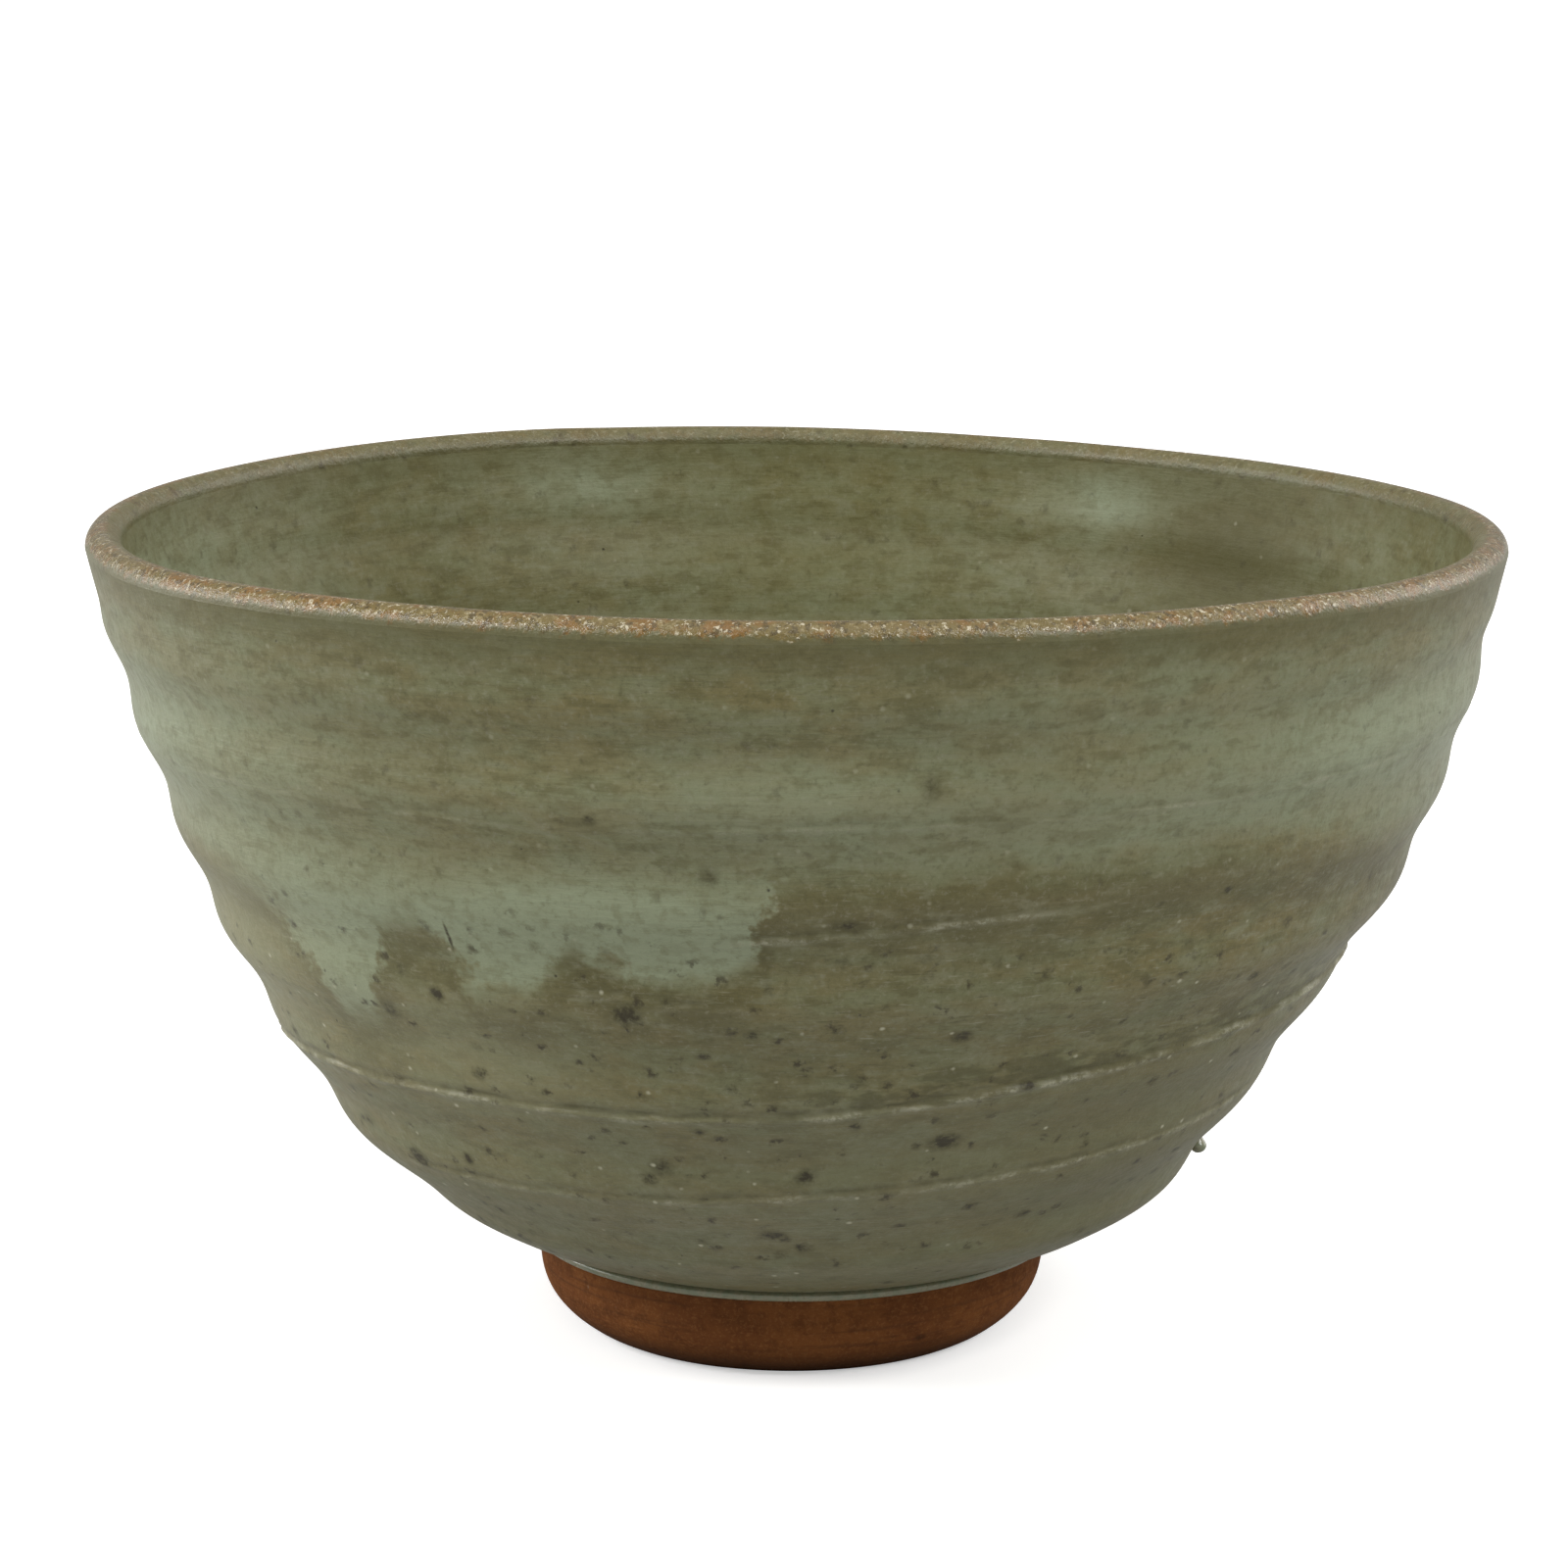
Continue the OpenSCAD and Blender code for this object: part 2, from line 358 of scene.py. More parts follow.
def throwing_tree():
    """Geometry nodes that turn an outline round the axis the way a bowl is thrown: the wall takes a
    rising spiral of finger rings, wanders a little off the axis and ends in a rim that isn't level."""
    tree, net, given, result = new_group(
        "Thrown on the wheel", "GeometryNodeTree",
        [("Outline", SHAPE, None), ("Segments", "NodeSocketInt", 288), ("Ring share", FLOAT, 1.0),
         ("Ring pitch", FLOAT, 9.1), ("Ring crest", FLOAT, 33.2), ("Ring depth low", FLOAT, 0.42),
         ("Ring depth high", FLOAT, 0.26), ("Lean", FLOAT, 1.0), ("Rim", FLOAT, 1.0), ("Hand", FLOAT, 0.16),
         ("Bowl height", FLOAT, 73.2), ("Score share", FLOAT, 1.0),
         ("Material", "NodeSocketMaterial", None)],
        [("Mesh", SHAPE)])
    (outline, segments, share, pitch, crest, low, high, lean, rim, hand, height, score_share,
     material) = given[:13]

    # One column of the grid for each step round the axis, and one row for each outline point
    count = net.put("GeometryNodeAttributeDomainSize", outline, component="MESH")
    grid = net.put("GeometryNodeMeshGrid", 1.0, 1.0, net.add(segments, 1.0), count)
    place = net.split(net.put("GeometryNodeInputPosition"))
    angle = net.mul(net.add(place[0], 0.5), FULL_TURN)
    row = net.math("ROUND", net.mul(net.add(place[1], 0.5), net.sub(count, 1.0)))
    index = net.put("FunctionNodeFloatToInt", row, rounding_mode="ROUND")
    where = net.put("GeometryNodeInputPosition")
    point = net.split(net.put("GeometryNodeSampleIndex", outline, where, index, data_type="FLOAT_VECTOR"))
    radius, z = point[0], point[2]
    degrees = net.sub(net.math("MODULO", net.add(net.mul(angle, 360 / FULL_TURN), 270.0), 360.0), 180.0)

    # Finger rings, fading in above the foot and out below the lip
    fade = net.mul(net.step(z, 11.0, 15.0), net.step(z, 64.0, 69.0, 1.0, 0.0))
    size = net.add(low, net.mul(net.sub(high, low), net.math("DIVIDE", z, height)))
    phase = net.sub(net.mul(net.math("DIVIDE", net.sub(z, crest), pitch), FULL_TURN), angle)
    ring = net.mul(net.math("COSINE", phase), fade)
    out = net.mul(ring, size, share)

    # Scored lines: a raised edge with a cut above it
    ridges, cuts = 0.0, 0.0
    across = net.math("DIVIDE", net.add(degrees, 180.0), 360.0)
    side, front = net.math("COSINE", angle), net.math("SINE", angle)
    along = net.join(net.mul(radius, side), net.mul(radius, front), z)
    rough = net.step(net.noise(along, 0.45, 3.0, 0.7), 0.36, 0.60, 0.25, 1.1)
    for score in SCORES:
        path = [((a + 180) / 360, h / SCORE_TOP) for a, h in score["path"]]
        path = [(0.0, path[0][1])] + path + [(1.0, path[-1][1])]
        level = net.mul(net.curve(across, path), float(SCORE_TOP))
        start, end = score["shows"]
        shown = net.mul(net.step(degrees, start - 6.0, start + 8.0),
                        net.step(degrees, end - 8.0, end + 6.0, 1.0, 0.0))
        level = net.add(level, net.mul(net.sub(rough, 0.7), 0.3))
        here = net.mul(shown, rough, score_share)
        ridge = net.mul(net.bell(net.sub(z, level), score["width"]), here)
        cut = net.mul(net.bell(net.sub(z, net.add(level, 1.9 * score["width"])), score["width"]), here)
        out = net.add(out, net.mul(ridge, score["crest"]), net.mul(cut, -score["cut"]))
        weight = min(1.0, score["crest"] / 0.10)
        ridges = net.math("MAXIMUM", ridges, net.mul(ridge, weight))
        cuts = net.math("MAXIMUM", cuts, net.mul(cut, weight))

    # Soft dents, the wall's wander off the axis, and the rim's rise and fall
    circle = net.join(side, front, net.mul(z, 0.035))
    dent = net.sub(net.noise(circle, 1.6, 1.0), 0.5)
    out = net.add(out, net.mul(dent, hand, 2.0, net.step(z, 1.0, 12.0, 0.35, 1.0)))
    up = net.math("DIVIDE", z, float(SCORE_TOP))
    sway = net.mul(net.sub(net.curve(up, [(h / SCORE_TOP, (v + 1) / 2) for h, v in LEAN]), 0.5), 2.0, lean)
    drop = net.mul(net.curve(across, [((a + 180) / 360, v / 2) for a, v in RIM]), 2.0, rim)
    fall = net.mul(net.math("MAXIMUM", drop, 0.0), net.step(z, 30.0, height))

    wide = net.math("MAXIMUM", net.add(radius, net.mul(out, net.step(radius, 0.0, 6.0))), 0.0)
    x = net.add(net.mul(wide, side), sway)
    y = net.mul(wide, front)
    spot = net.vector("MULTIPLY", net.join(x, y, net.sub(z, fall)), (MM, MM, MM))

    # What the glaze needs to know is stored on the mesh
    named = grid
    stored = {"height": z, "reach": radius, "ring": ring, "ridge": ridges, "cut": cuts}
    for label, value in stored.items():
        named = net.put("GeometryNodeStoreNamedAttribute", named, True, label, value, data_type="FLOAT",
                        domain="POINT")
    placed = net.put("GeometryNodeSetPosition", named, True, spot)
    whole = net.put("GeometryNodeMergeByDistance", placed, True, MERGE_WITHIN)
    shaded = net.put("GeometryNodeSetShadeSmooth", whole, True, True)
    corner = net.math("GREATER_THAN", net.put("GeometryNodeInputMeshEdgeAngle"), SHARP_FROM)
    shaded = net.put("GeometryNodeSetShadeSmooth", shaded, corner, False, domain="EDGE")
    real = net.put("GeometryNodeRealizeInstances", shaded)
    tree.links.new(net.put("GeometryNodeSetMaterial", real, True, material), result[0])
    return tree


def turn_piece(context, name, node, outline, material, segments=288, ring_share=1.0,
               score_share=0.0):
    """Throws one piece from its outline and puts it on the frame."""
    sizes = context.scene.bowl_sizes
    tree = bpy.data.node_groups.get("Thrown on the wheel") or throwing_tree()
    line = bpy.data.meshes.new(name + "_outline")
    line.from_pydata([(r, 0, z) for r, z in outline], [(i, i + 1) for i in range(len(outline) - 1)], [])
    drawn = bpy.data.objects.new(name + "_outline", line)
    context.scene.collection.objects.link(drawn)
    turned = drawn.modifiers.new("Thrown", "NODES")
    turned.node_group = tree
    values = {
        "Segments": segments, "Ring share": ring_share, "Ring pitch": sizes.ring_pitch,
        "Ring crest": sizes.ring_crest, "Ring depth low": sizes.ring_low,
        "Ring depth high": sizes.ring_high, "Lean": sizes.lean, "Rim": sizes.rim, "Hand": sizes.hand,
        "Bowl height": BOWL_HEIGHT, "Score share": score_share, "Material": material,
    }
    for item in tree.interface.items_tree:
        if item.in_out == "INPUT" and item.name in values:
            turned[item.identifier] = values[item.name]
    shaped = drawn.evaluated_get(context.evaluated_depsgraph_get())
    mesh = bpy.data.meshes.new_from_object(shaped)
    drawn.modifiers.remove(turned)
    bpy.data.objects.remove(drawn)
    piece = bpy.data.objects.new(name, mesh)
    context.scene.collection.objects.link(piece)
    if len(mesh.polygons) == 0:
        raise RuntimeError(name + " came out empty")
    settle(piece, node)
    return piece


def settle(piece, node):
    """Puts a finished piece on the body in place of its plain CAD node."""
    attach(piece, BODY)
    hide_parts(node)


# --------------------------------------------------------------------------- shader groups

def shader_group(name, inputs, outputs, build):
    """A shared shader group, built once."""
    tree = bpy.data.node_groups.get(name)
    if tree is None:
        tree, net, given, result = new_group(name, "ShaderNodeTree", inputs, outputs)
        for socket, value in zip(result, build(net, given)):
            tree.links.new(value, socket)
    return tree


def use(net, tree, *values):
    """Places a group in a material and returns its outputs."""
    node = net.put("ShaderNodeGroup", pick=None)
    node.node_tree = tree
    net.feed(node.inputs, values)
    return node.outputs


def specks_group():
    """Round spots scattered through the clay: one in some cells of a random pattern."""
    def build(net, given):
        vector, spacing, size, blur, share = given[:5]
        scaled = net.vector("DIVIDE", vector, net.join(spacing, spacing, spacing))
        cells = net.put("ShaderNodeTexVoronoi", scaled, 1.0, pick=None)
        pick = net.split(cells.outputs["Color"])
        away = net.mul(cells.outputs["Distance"], spacing)
        real = net.mul(size, net.step(pick[1], 0.0, 1.0, 0.45, 1.15))
        spot = net.step(net.sub(away, real), net.mul(blur, -0.5), blur, 1.0, 0.0)
        chosen = net.math("LESS_THAN", pick[0], share)
        return [net.mul(spot, chosen)]
    return shader_group(
        "Specks", [("Vector", VECTOR, None), ("Spacing", FLOAT, 5.0), ("Size", FLOAT, 0.6),
                   ("Blur", FLOAT, 0.5), ("Share", FLOAT, 0.5)], [("Speck", FLOAT)], build)


def streaks_group():
    """Level streaks left by the wheel: noise drawn out round the axis."""
    def build(net, given):
        vector, length, rise = given[:3]
        flat = net.math("DIVIDE", 1.0, length)
        drawn = net.vector("MULTIPLY", vector, net.join(flat, flat, net.math("DIVIDE", 1.0, rise)))
        return [net.noise(drawn, 1.0, 3.0, 0.55)]
    return shader_group(
        "Wheel streaks", [("Vector", VECTOR, None), ("Length", FLOAT, 14.0), ("Rise", FLOAT, 0.8)],
        [("Streak", FLOAT)], build)


def place_group():
    """Where a point is on the bowl: in millimetres, degrees from the front, and distance round it."""
    def build(net, given):
        metres = given[0]
        vector = net.vector("MULTIPLY", metres, (1000.0, 1000.0, 1000.0))
        x, y, z = net.split(vector)[:3]
        degrees = net.mul(net.math("ARCTAN2", x, net.mul(y, -1.0)), 360 / FULL_TURN)
        radius = net.vector("LENGTH", net.join(x, y, 0.0))
        return [vector, degrees, radius, z]
    return shader_group(
        "Place on the bowl", [("Object", VECTOR, None)],
        [("Vector", VECTOR), ("Degrees", FLOAT), ("Radius", FLOAT), ("Height", FLOAT)], build)


def attribute(net, name):
    """A value that the throwing stored on the mesh."""
    return net.put("ShaderNodeAttribute", attribute_name=name, pick=None).outputs["Fac"]


def object_space(net):
    return net.put("ShaderNodeTexCoord", pick=None).outputs["Object"]


def place(net):
    """Vector, degrees, radius and height of a point on the bowl."""
    return use(net, place_group(), object_space(net))[:4]


# Runs of thick glaze: degrees from the front, half width in degrees, and length
RUNS = [
    (-46.0, 7.8, 9.8), (-26.8, 6.6, 6.0), (-10.0, 8.0, 2.6),
    (74.0, 6.0, 3.0), (97.0, 6.5, 8.0), (118.0, 5.0, 3.6), (146.0, 8.5, 6.4), (171.0, 5.0, 2.6),
    (-166.0, 6.0, 7.0), (-141.0, 5.0, 3.2), (-118.0, 8.0, 8.4), (-92.0, 5.5, 3.0),
]
# Clouds where the glaze lies thick, the first two inner ones also painted highlights: degrees from the
# front, height, half width in degrees, half height and strength
OUTER_CLOUDS = [
    (-64.0, 57.5, 22.0, 9.5, 0.74), (-46.0, 41.0, 13.0, 7.5, 1.40), (-15.0, 46.0, 17.0, 5.0, 1.85),
    (-2.0, 59.0, 12.0, 3.2, 0.48), (27.0, 57.0, 20.0, 3.6, 0.42), (52.0, 60.5, 17.0, 6.0, 0.62),
    (80.0, 58.0, 22.0, 8.0, 0.60), (26.0, 66.0, 14.0, 3.6, 0.35), (-105.0, 53.0, 22.0, 8.0, 0.8),
    (128.0, 55.0, 24.0, 8.0, 0.9), (-150.0, 56.0, 26.0, 7.0, 0.85), (172.0, 60.0, 22.0, 6.0, 0.75),
]
# The first two inner clouds, high on the back wall by the rim, are painted highlights of the soft boxes laid
# over milky glaze
INNER_CLOUDS_AND_HIGHLIGHTS = [
    (-159.0, 67.5, 8.0, 2.8, 0.40), (149.0, 68.0, 7.0, 2.8, 0.80), (-100.0, 62.0, 18.0, 7.0, 0.7),
    (178.0, 53.0, 20.0, 6.0, 0.15), (60.0, 52.0, 30.0, 9.0, 0.6), (-30.0, 40.0, 34.0, 8.0, 0.6),
]


# Single patches in the same form: where pale threads show, where the glaze is burnt, and where it is paler
# tan, the left one partly painted sheen
THREADS_AT = (20.0, 39.0, 36.0, 9.0, 0.5)
BURNT_OUTSIDE = (42.0, 25.0, 32.0, 12.0, 0.55)
BURNT_INSIDE = (133.0, 64.0, 12.0, 8.0, 0.85)
LEFT_TAN_AND_SHEEN = (-66.0, 39.0, 15.0, 9.0, 0.75)
LOW_LEFT_PALE_TAN = (-32.0, 34.0, 12.0, 5.0, 0.45)


def patch_mask(net, turn, height, level, wide, tall, strength):
    """A soft mask for one patch, turn being the degrees from its middle."""
    return net.mul(net.bell(turn, wide), net.bell(net.sub(height, level), tall), strength)


def patch_at(net, degrees, height, patch):
    return patch_mask(net, net.sub(degrees, patch[0]), height, *patch[1:])


def clouds(net, degrees, height, places):
    """One mask for a list of clouds, which may lie across the seam of the degrees at the back."""
    total = 0.0
    for centre, *shape in places:
        turn = net.sub(degrees, centre)
        turn = net.sub(turn, net.mul(net.math("ROUND", net.math("DIVIDE", turn, 360.0)), 360.0))
        total = net.add(total, patch_mask(net, turn, height, *shape))
    return total


def drip_group():
    """How thick the second coat is: full above a line from which runs of glaze hang."""
    def build(net, given):
        degrees, height, wander = given[:3]
        left = net.step(degrees, -75.0, -52.0, 48.3, 46.0)
        edge = net.step(degrees, -4.2, -0.6, left, 52.4)
        edge = net.add(edge, net.step(degrees, 35.0, 75.0, 0.0, -3.6),
                       net.step(degrees, 120.0, 180.0, 0.0, -0.5))
        for centre, width, length in RUNS:
            away = net.math("ABSOLUTE", net.sub(degrees, centre))
            edge = net.sub(edge, net.step(away, width * 0.2, width * 1.15, length, 0.0))
        above = net.sub(net.add(height, wander), edge)
        return [net.step(above, -1.8, 2.4), above]
    return shader_group(
        "Second coat", [("Degrees", FLOAT, 0.0), ("Height", FLOAT, 0.0), ("Wander", FLOAT, 0.0)],
        [("Thick", FLOAT), ("Above", FLOAT)], build)


# Iron flecks that stand out by themselves: degrees from the front, height, half width, half height and
# strength
FLECKS = [
    (-51, 21.5, 1.4, 1.1, 0.95), (-41, 23, 0.7, 0.7, 0.9), (-34, 40, 0.8, 0.7, 1), (-41, 37.5, 1.3, 1, 0.7),
    (-15, 40, 1.4, 1.1, 0.95), (-15, 25, 1.2, 1.2, 0.75), (-10, 29, 0.7, 0.4, 0.85), (-3, 18, 1.4, 0.7, 0.9),
    (1, 24.5, 0.9, 0.8, 0.95), (16, 27.5, 1.6, 0.9, 1), (15, 38, 1.1, 0.7, 0.95), (23, 32.5, 1.1, 0.6, 0.9),
    (4, 48.5, 1.6, 0.6, 0.8), (10, 60, 1, 1.6, 0.6), (-7, 52.5, 1.1, 1.1, 0.6), (-16, 57, 0.7, 0.5, 0.75),
    (38, 49, 0.55, 0.4, 1), (-31, 45.5, 0.2, 1.4, 0.95),
]


def named_flecks(net, degrees, height, radius, warp, flecks):
    """One mask for a list of single flecks, 1 in the middle of the strongest."""
    mask = 0.0
    around = net.mul(degrees, FULL_TURN / 360)
    for centre, level, wide, tall, strength in flecks:
        dx = net.mul(net.sub(around, centre * FULL_TURN / 360), radius)
        dz = net.sub(height, level)
        there = net.join(net.mul(dx, 1 / wide), net.mul(dz, 1 / tall), 0.0)
        away = net.vector("LENGTH", net.vector("ADD", there, warp))
        mask = net.math("MAXIMUM", mask, net.step(away, 0.0, 1.7, strength, 0.0))
    return mask


# --------------------------------------------------------------------------- materials

# Colours laid into the glaze, the clay and the bead, beside the ones that a user sets
GLASSY_GREEN = (0.112, 0.120, 0.062)
INNER_OLIVE = (0.112, 0.106, 0.040)
WASHED_GREEN = (0.165, 0.165, 0.098)
RING_TAN = (0.20, 0.165, 0.095)
# Pale brownish tan, also the painted sheen of the rim light by the left edge
PALE_TAN_AND_SHEEN = (0.205, 0.200, 0.110)
# Paler green towards the foot, partly painted bounce light from the floor
FOOT_GREEN_AND_BOUNCE = (0.165, 0.163, 0.096)
LIP_BROWN = (0.138, 0.103, 0.034)
LIP_BURNT = (0.062, 0.045, 0.017)
LIP_TAN = (0.28, 0.23, 0.12)
# Painted glints: pale specks on the lip's edge that stand in for sparkles of light
LIP_PAINTED_GLINTS = (0.52, 0.47, 0.34)
BEAD_PALE = (0.215, 0.205, 0.130)
CLAY_ORANGE = (0.168, 0.062, 0.019)
CLAY_BROWN = (0.080, 0.030, 0.011)
CLAY_SAND = (0.240, 0.100, 0.038)
CLAY_IRON = (0.022, 0.012, 0.008)
CLAY_GRAIN = (0.25, 0.16, 0.10)

# How the glaze differs between the three sides that share the rim
GLAZE_SIDES = {
    "outside": {"specular": 0.30, "coat": 0.06, "roughness": 0.46, "grit": 0.50, "relief": 1.0},
    "inside": {"specular": 0.18, "coat": 0.02, "roughness": 0.55, "grit": 0.34, "relief": 0.5},
    "lip": {"specular": 0.42, "coat": 0.06, "roughness": 0.46, "grit": 0.50, "relief": 0.5},
}


def new_material(name):
    material = bpy.data.materials.new(name)
    material.use_nodes = True
    net = Net(material.node_tree)
    shader = material.node_tree.nodes["Principled BSDF"]
    return material, net, shader


def rgba(colour, light=1.0):
    return (*(c * light for c in colour), 1.0)


def finish_material(net, shader, colour, roughness, heights):
    """Links the colour and roughness, and the relief: a list of heights, each with its depth in mm."""
    net.tree.links.new(colour, shader.inputs["Base Color"])
    net.tree.links.new(roughness, shader.inputs["Roughness"])
    relief = net.add(*(net.mul(height, depth) for height, depth in heights))
    bump = net.put("ShaderNodeBump", pick=None)
    bump.inputs["Strength"].default_value = 1.0
    bump.inputs["Distance"].default_value = MM
    net.tree.links.new(relief, bump.inputs["Height"])
    net.tree.links.new(bump.outputs["Normal"], shader.inputs["Normal"])


class Layers:
    """A colour built up in layers, each laid over the last as far as the masks given with it say."""

    def __init__(self, net, colour, light=1.0):
        self.net, self.colour = net, rgba(colour, light)

    def lay(self, colour, *masks, light=1.0):
        over = colour if isinstance(colour, bpy.types.NodeSocket) else rgba(colour, light)
        self.colour = self.net.mix(self.net.mul(*masks), self.colour, over)


class Glaze(Layers):
    """The ash glaze on one side of the bowl: its noises, how thick it lies, and its colour."""

    def __init__(self, net, colours, side):
        super().__init__(net, colours.olive)
        self.side, self.colours = side, colours
        self.vector, self.degrees, self.radius, _ = place(net)
        self.height = attribute(net, "height")
        self.scored = attribute(net, "ridge")
        self.broad = net.noise(self.vector, 0.07, 2.0)
        self.patch = net.noise(self.vector, 0.22, 3.0, 0.6)
        self.mottle = net.noise(self.vector, 0.9, 3.0, 0.6)
        self.fine = net.noise(self.vector, 1.9, 4.0, 0.7)
        self.grit = net.noise(self.vector, 2.4, 3.0, 0.65)
        self.pin = self.specks(self.vector, 2.4, 0.07, 0.13, 0.20)
        self.cloud = self.streaks(6.5, 2.4)
        self.smear = self.streaks(3.2, 1.1)
        self.streak = self.streaks(16.0, 0.75)
        self.thread = self.streaks(2.2, 0.22)
        wild = net.vector("SUBTRACT", net.noise(self.vector, 1.5, 3.0, 0.65, pick=1), (0.5, 0.5, 0.5))
        self.warp = net.vector("MULTIPLY", wild, (2.0, 2.0, 0.0))
        self.below = 0.0
        self.thick = self.inner_thickness_and_highlights() if side == "inside" else self.outer_thickness()

    def streaks(self, length, rise):
        return use(self.net, streaks_group(), self.vector, length, rise)[0]

    def specks(self, vector, spacing, size, blur, share):
        return use(self.net, specks_group(), vector, spacing, size, blur, share)[0]

    def patched(self, patch):
        return patch_at(self.net, self.degrees, self.height, patch)

    def uneven(self, places):
        """Clouds whose strength follows the noises."""
        net = self.net
        share = net.add(net.mul(self.patch, 1.1), net.mul(self.mottle, 0.5), 0.2)
        return net.mul(clouds(net, self.degrees, self.height, places), share)

    def inner_thickness_and_highlights(self):
        """Thick in the clouds and where the tea pools; the two clouds high on the back wall by the rim are
        painted highlights over milky glaze.
        """
        net = self.net
        drift = net.add(self.patch, net.mul(self.broad, 0.6))
        thick = net.add(self.uneven(INNER_CLOUDS_AND_HIGHLIGHTS), net.step(drift, 0.62, 1.02, 0.02, 0.24))
        pool = net.step(self.radius, 24.0, 15.0, 0.0, 0.5)
        return net.math("MINIMUM", net.math("MAXIMUM", thick, pool), 1.0)

    def outer_thickness(self):
        """Thick in the clouds of the second coat, which swells at its edge and bleeds iron below it."""
        net = self.net
        wander = net.add(net.swing(self.patch, 4.0), net.swing(self.mottle, 2.4))
        bent = net.add(self.degrees, net.swing(self.mottle, 5.0), net.swing(self.patch, 7.0))
        coat, above = use(net, drip_group(), bent, self.height, wander)[:2]
        self.below = net.mul(net.bell(net.add(above, 2.6), 2.8), net.sub(1.0, coat))
        swollen = net.mul(net.bell(net.sub(above, 2.0), 2.0), 0.14)
        near_lip = net.step(self.height, 60.0, 68.0, 0.12, 0.02)
        lying = net.add(self.uneven(OUTER_CLOUDS), swollen, near_lip)
        return net.math("MINIMUM", net.mul(coat, lying), 1.0)

    def lay_body(self):
        """Green where thin glaze is glassy, brown where iron comes through, and milky where it is thick."""
        net, c, thick = self.net, self.colours, self.thick
        thin = net.sub(1.0, net.mul(thick, 0.8))
        self.lay(c.rust, net.step(self.cloud, 0.36, 0.62))
        self.lay(GLASSY_GREEN, net.step(self.broad, 0.35, 0.65), 0.3)
        if self.side == "inside":
            self.lay(INNER_OLIVE, 0.5)
        else:
            self.lay(c.shade, self.below, net.step(self.patch, 0.3, 0.6, 0.45, 0.95), light=1.05)
        # On the inside the milky layer also carries the painted highlights by the rim
        self.lay(c.milky, thick)
        self.lay(c.shade, net.step(self.smear, 0.50, 0.66), net.add(0.08, net.mul(thin, 0.52)), light=1.1)
        self.lay(WASHED_GREEN, net.step(self.smear, 0.47, 0.32), net.add(0.06, net.mul(thin, 0.42)))
        self.lay(c.shade, net.step(self.mottle, 0.48, 0.66), 0.30, light=1.2)
        self.lay(RING_TAN, net.step(attribute(net, "ring"), 0.45, 1.0), thin, 0.10)
        threads = net.add(0.14, self.patched(THREADS_AT))
        self.lay(c.grain, net.step(self.thread, 0.60, 0.76), thin, threads, light=0.72)
        self.lay(c.shade, net.step(self.thread, 0.40, 0.26), thin, threads, light=0.7)
        gritty = net.mul(net.sub(1.0, net.mul(thick, 0.6)), GLAZE_SIDES[self.side]["grit"])
        self.lay(c.shade, net.step(self.fine, 0.52, 0.72), gritty, light=0.8)
        self.lay(c.grain, net.step(self.fine, 0.48, 0.28), gritty, 0.75, light=0.62)
        self.lay(c.shade, self.patched(BURNT_INSIDE if self.side == "inside" else BURNT_OUTSIDE))
        if self.side == "outside":
            # Paler tan low on the front left; the patch by the left edge is partly painted sheen of the rim
            # light
            self.lay(PALE_TAN_AND_SHEEN, net.add(self.patched(LEFT_TAN_AND_SHEEN), self.patched(LOW_LEFT_PALE_TAN)))
        # The glaze grows paler and greener towards the foot: partly its own tone, partly painted bounce
        # light from the floor
        self.lay(FOOT_GREEN_AND_BOUNCE, net.step(self.height, 40.0, 24.0, 0.0, 0.26))

    def lay_scores(self):
        """Scored lines: pale where the edge breaks through, with painted shadow in the cut and just above
        the line.
        """
        net, c = self.net, self.colours
        # Painted shadow in a band just above the deepest scored line, right of the front
        above_line = net.sub(self.height, net.add(32.0, net.mul(self.degrees, 0.08)))
        shadow_above_line = net.mul(net.bell(above_line, 2.0), net.step(self.degrees, -12.0, 8.0),
                         net.step(self.smear, 0.44, 0.56))
        self.lay(c.shade, shadow_above_line, 0.55, light=0.72)
        broken = net.step(self.smear, 0.62, 0.38, 0.15, 1.0)
        ridge = net.mul(self.scored, broken, net.step(self.fine, 0.40, 0.58, 0.15, 1.3))
        self.lay(c.grain, net.math("MINIMUM", net.mul(ridge, 0.8), 0.85), light=0.82)
        # Painted shadow in the cut above each raised edge
        cut = net.mul(attribute(net, "cut"), net.step(self.mottle, 0.30, 0.60, 0.3, 1.0))
        self.lay(c.shade, cut, 0.55, light=0.6)

    def lay_specks(self):
        """Iron flecks, pinholes and feldspar. Returns the stain that the flecks leave."""
        net, c, fine = self.net, self.colours, self.fine
        loose = net.vector("ADD", self.vector, self.warp)
        fleck = self.specks(loose, 4.4, 0.34, 1.0, 0.85)
        small = self.specks(loose, 2.1, 0.32, 0.40, 0.85)
        lower = net.step(self.height, 52.0, 40.0, 0.35, 1.0)
        if self.side == "inside":
            fleck, small = net.mul(fleck, 0.5), net.mul(small, 0.4)
        if self.side == "outside":
            small = net.mul(small, lower)
            warp = net.vector("SCALE", self.warp, 0.4)
            large = named_flecks(net, self.degrees, self.height, self.radius, warp, FLECKS)
            fleck = net.math("MAXIMUM", net.mul(fleck, lower, 0.92), large)
        nearly = net.vector("ADD", self.vector, net.vector("SCALE", self.warp, 0.15))
        grain = self.specks(nearly, 2.0, 0.14, 0.18, net.add(0.34, net.mul(self.scored, 0.6)))
        stain = net.mul(net.step(fleck, 0.12, 0.72), net.step(fine, 0.25, 0.6, 0.6, 1.0))
        core = net.step(net.mul(fleck, net.step(fine, 0.25, 0.75, 0.7, 1.25)), 0.52, 0.92)
        self.lay(c.shade, stain, 0.66, light=0.66)
        self.lay(c.iron, core, 0.92, light=0.8)
        self.lay(c.iron, small, net.step(self.mottle, 0.42, 0.54), 0.9)
        self.lay(c.grain, grain, lower, net.sub(0.9, net.mul(self.thick, 0.45)))
        self.lay(c.iron, self.pin, 0.9, light=0.5)
        return stain

